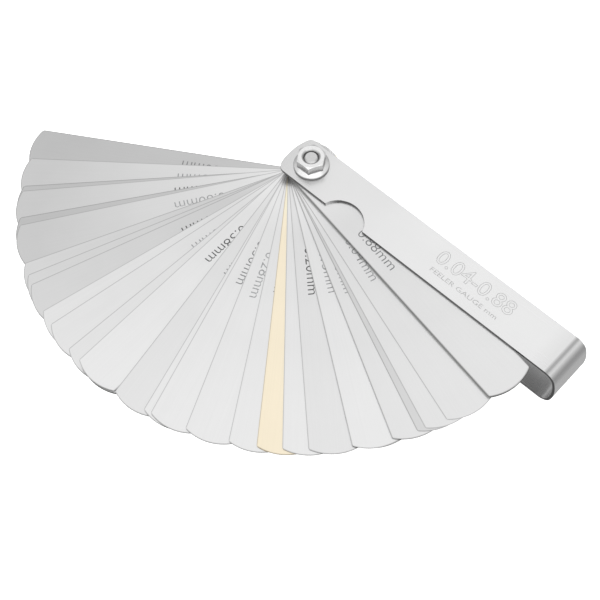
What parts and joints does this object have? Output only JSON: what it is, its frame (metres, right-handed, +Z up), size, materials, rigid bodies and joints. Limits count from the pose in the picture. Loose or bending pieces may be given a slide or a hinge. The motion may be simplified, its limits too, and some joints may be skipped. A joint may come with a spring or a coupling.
{
  "type": "feeler gauge",
  "caption": "Thickness leaves on one clamping screw, fanned out of a folded sheet-metal case with a thumb notch.",
  "frame": {"origin": "on the screw's axis, at the underside of the case's lower plate", "axes": "+Z up the screw towards the nut, +X along the case towards its folded end"},
  "size_m": [0.1565, 0.0885, 0.021],
  "materials": {
    "case_steel": "satin nickel plate",
    "leaf_steel": "fine brushed stainless steel",
    "leaf_brass": "rolled brass",
    "hardware": "bright nickel plate"
  },
  "bodies": {
    "case": {"case_shell": "case_steel", "pivot_screw": "hardware", "screw_washer": "hardware"},
    "nut": {"flange_nut": "hardware"},
    "swing_088": {"leaf_088": "leaf_steel"},
    "swing_004": {"leaf_004": "leaf_steel"},
    "swing_005": {"leaf_005": "leaf_steel"},
    "swing_006": {"leaf_006": "leaf_steel"},
    "swing_008": {"leaf_008": "leaf_steel"},
    "swing_010": {"leaf_010": "leaf_steel"},
    "swing_013": {"leaf_013": "leaf_steel"},
    "swing_015": {"leaf_015": "leaf_steel"},
    "swing_018": {"leaf_018": "leaf_steel"},
    "swing_020": {"leaf_020": "leaf_steel"},
    "swing_023": {"leaf_023": "leaf_steel"},
    "swing_025_brass": {"leaf_025_brass": "leaf_brass"},
    "swing_025": {"leaf_025": "leaf_steel"},
    "swing_028": {"leaf_028": "leaf_steel"},
    "swing_030": {"leaf_030": "leaf_steel"},
    "swing_033": {"leaf_033": "leaf_steel"},
    "swing_035": {"leaf_035": "leaf_steel"},
    "swing_038": {"leaf_038": "leaf_steel"},
    "swing_040": {"leaf_040": "leaf_steel"},
    "swing_043": {"leaf_043": "leaf_steel"},
    "swing_045": {"leaf_045": "leaf_steel"},
    "swing_048": {"leaf_048": "leaf_steel"},
    "swing_050": {"leaf_050": "leaf_steel"},
    "swing_053": {"leaf_053": "leaf_steel"},
    "swing_055": {"leaf_055": "leaf_steel"},
    "swing_058": {"leaf_058": "leaf_steel"},
    "swing_060": {"leaf_060": "leaf_steel"},
    "swing_063": {"leaf_063": "leaf_steel"},
    "swing_065": {"leaf_065": "leaf_steel"},
    "swing_070": {"leaf_070": "leaf_steel"},
    "swing_075": {"leaf_075": "leaf_steel"},
    "swing_080": {"leaf_080": "leaf_steel"}
  },
  "joints": [
    {"name": "nut_turn", "type": "hinge", "parent": "case", "child": "nut", "pos_m": [0, 0, 0.01402], "axis": [0, 0, 1], "range_deg": [0, 360]},
    {"name": "swing_088_hinge", "type": "hinge", "parent": "case", "child": "swing_088", "pos_m": [0, 0, 0.007], "axis": [0, 0, 1], "range_deg": [-170, 10]},
    {"name": "swing_004_hinge", "type": "hinge", "parent": "case", "child": "swing_004", "pos_m": [0, 0, 0.007], "axis": [0, 0, 1], "range_deg": [-161.5, 18.5]},
    {"name": "swing_005_hinge", "type": "hinge", "parent": "case", "child": "swing_005", "pos_m": [0, 0, 0.007], "axis": [0, 0, 1], "range_deg": [-157.5, 22.5]},
    {"name": "swing_006_hinge", "type": "hinge", "parent": "case", "child": "swing_006", "pos_m": [0, 0, 0.007], "axis": [0, 0, 1], "range_deg": [-156, 24]},
    {"name": "swing_008_hinge", "type": "hinge", "parent": "case", "child": "swing_008", "pos_m": [0, 0, 0.007], "axis": [0, 0, 1], "range_deg": [-151.5, 28.5]},
    {"name": "swing_010_hinge", "type": "hinge", "parent": "case", "child": "swing_010", "pos_m": [0, 0, 0.007], "axis": [0, 0, 1], "range_deg": [-151.5, 28.5]},
    {"name": "swing_013_hinge", "type": "hinge", "parent": "case", "child": "swing_013", "pos_m": [0, 0, 0.007], "axis": [0, 0, 1], "range_deg": [-151.5, 28.5]},
    {"name": "swing_015_hinge", "type": "hinge", "parent": "case", "child": "swing_015", "pos_m": [0, 0, 0.007], "axis": [0, 0, 1], "range_deg": [-144.5, 35.5]},
    {"name": "swing_018_hinge", "type": "hinge", "parent": "case", "child": "swing_018", "pos_m": [0, 0, 0.007], "axis": [0, 0, 1], "range_deg": [-145, 35]},
    {"name": "swing_020_hinge", "type": "hinge", "parent": "case", "child": "swing_020", "pos_m": [0, 0, 0.007], "axis": [0, 0, 1], "range_deg": [-137, 43]},
    {"name": "swing_023_hinge", "type": "hinge", "parent": "case", "child": "swing_023", "pos_m": [0, 0, 0.007], "axis": [0, 0, 1], "range_deg": [-132.5, 47.5]},
    {"name": "swing_025_brass_hinge", "type": "hinge", "parent": "case", "child": "swing_025_brass", "pos_m": [0, 0, 0.007], "axis": [0, 0, 1], "range_deg": [-128, 52]},
    {"name": "swing_025_hinge", "type": "hinge", "parent": "case", "child": "swing_025", "pos_m": [0, 0, 0.007], "axis": [0, 0, 1], "range_deg": [-123, 57]},
    {"name": "swing_028_hinge", "type": "hinge", "parent": "case", "child": "swing_028", "pos_m": [0, 0, 0.007], "axis": [0, 0, 1], "range_deg": [-115, 65]},
    {"name": "swing_030_hinge", "type": "hinge", "parent": "case", "child": "swing_030", "pos_m": [0, 0, 0.007], "axis": [0, 0, 1], "range_deg": [-108, 72]},
    {"name": "swing_033_hinge", "type": "hinge", "parent": "case", "child": "swing_033", "pos_m": [0, 0, 0.007], "axis": [0, 0, 1], "range_deg": [-106.5, 73.5]},
    {"name": "swing_035_hinge", "type": "hinge", "parent": "case", "child": "swing_035", "pos_m": [0, 0, 0.007], "axis": [0, 0, 1], "range_deg": [-100, 80]},
    {"name": "swing_038_hinge", "type": "hinge", "parent": "case", "child": "swing_038", "pos_m": [0, 0, 0.007], "axis": [0, 0, 1], "range_deg": [-90.5, 89.5]},
    {"name": "swing_040_hinge", "type": "hinge", "parent": "case", "child": "swing_040", "pos_m": [0, 0, 0.007], "axis": [0, 0, 1], "range_deg": [-91, 89]},
    {"name": "swing_043_hinge", "type": "hinge", "parent": "case", "child": "swing_043", "pos_m": [0, 0, 0.007], "axis": [0, 0, 1], "range_deg": [-91, 89]},
    {"name": "swing_045_hinge", "type": "hinge", "parent": "case", "child": "swing_045", "pos_m": [0, 0, 0.007], "axis": [0, 0, 1], "range_deg": [-87, 93]},
    {"name": "swing_048_hinge", "type": "hinge", "parent": "case", "child": "swing_048", "pos_m": [0, 0, 0.007], "axis": [0, 0, 1], "range_deg": [-80.5, 99.5]},
    {"name": "swing_050_hinge", "type": "hinge", "parent": "case", "child": "swing_050", "pos_m": [0, 0, 0.007], "axis": [0, 0, 1], "range_deg": [-77, 103]},
    {"name": "swing_053_hinge", "type": "hinge", "parent": "case", "child": "swing_053", "pos_m": [0, 0, 0.007], "axis": [0, 0, 1], "range_deg": [-70.5, 109.5]},
    {"name": "swing_055_hinge", "type": "hinge", "parent": "case", "child": "swing_055", "pos_m": [0, 0, 0.007], "axis": [0, 0, 1], "range_deg": [-68, 112]},
    {"name": "swing_058_hinge", "type": "hinge", "parent": "case", "child": "swing_058", "pos_m": [0, 0, 0.007], "axis": [0, 0, 1], "range_deg": [-65, 115]},
    {"name": "swing_060_hinge", "type": "hinge", "parent": "case", "child": "swing_060", "pos_m": [0, 0, 0.007], "axis": [0, 0, 1], "range_deg": [-56, 124]},
    {"name": "swing_063_hinge", "type": "hinge", "parent": "case", "child": "swing_063", "pos_m": [0, 0, 0.007], "axis": [0, 0, 1], "range_deg": [-54, 126]},
    {"name": "swing_065_hinge", "type": "hinge", "parent": "case", "child": "swing_065", "pos_m": [0, 0, 0.007], "axis": [0, 0, 1], "range_deg": [-47.5, 132.5]},
    {"name": "swing_070_hinge", "type": "hinge", "parent": "case", "child": "swing_070", "pos_m": [0, 0, 0.007], "axis": [0, 0, 1], "range_deg": [-46, 134]},
    {"name": "swing_075_hinge", "type": "hinge", "parent": "case", "child": "swing_075", "pos_m": [0, 0, 0.007], "axis": [0, 0, 1], "range_deg": [-39, 141]},
    {"name": "swing_080_hinge", "type": "hinge", "parent": "case", "child": "swing_080", "pos_m": [0, 0, 0.007], "axis": [0, 0, 1], "range_deg": [-31.5, 148.5]}
  ]
}
